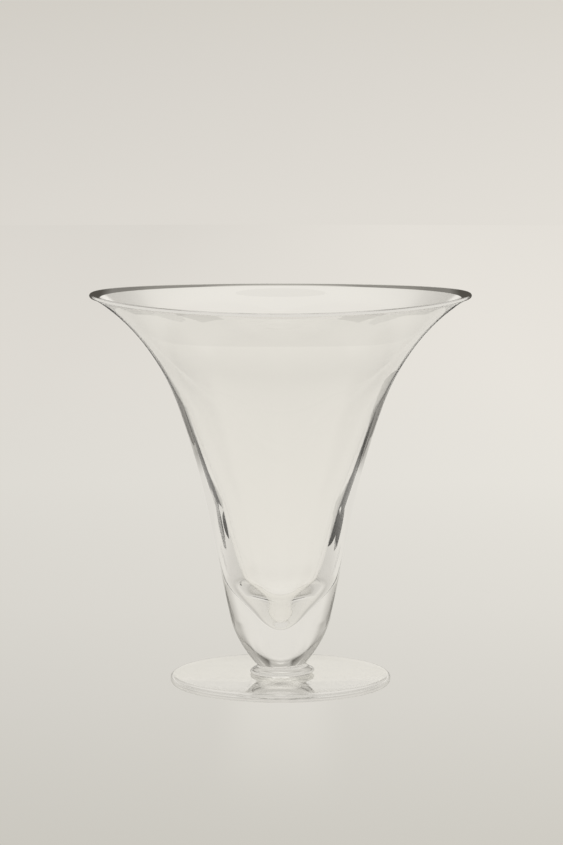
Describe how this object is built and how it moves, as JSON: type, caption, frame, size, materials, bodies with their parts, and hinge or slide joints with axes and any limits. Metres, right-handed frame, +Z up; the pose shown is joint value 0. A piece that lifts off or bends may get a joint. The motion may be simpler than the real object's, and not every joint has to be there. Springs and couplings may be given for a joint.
{
  "type": "glass vase",
  "caption": "Clear blown-glass vase: a wide flared bowl with a thick solid bottom, joined by a small bead to a flat round foot.",
  "frame": {"origin": "centre of the foot's flat underside", "axes": "+Z up along the vase's axis of revolution, +X to the right as pictured, +Y away from the viewer"},
  "size_m": [0.242, 0.242, 0.25],
  "materials": {
    "bowl_glass": "clear colourless soda glass with a faint warm cast, polished by fire",
    "ring_glass": "clear colourless soda glass, tooled while hot",
    "foot_glass": "clear colourless soda glass, flat and smooth"
  },
  "bodies": {
    "root": {"bowl": "bowl_glass", "ring": "ring_glass", "foot": "foot_glass"}
  },
  "joints": []
}
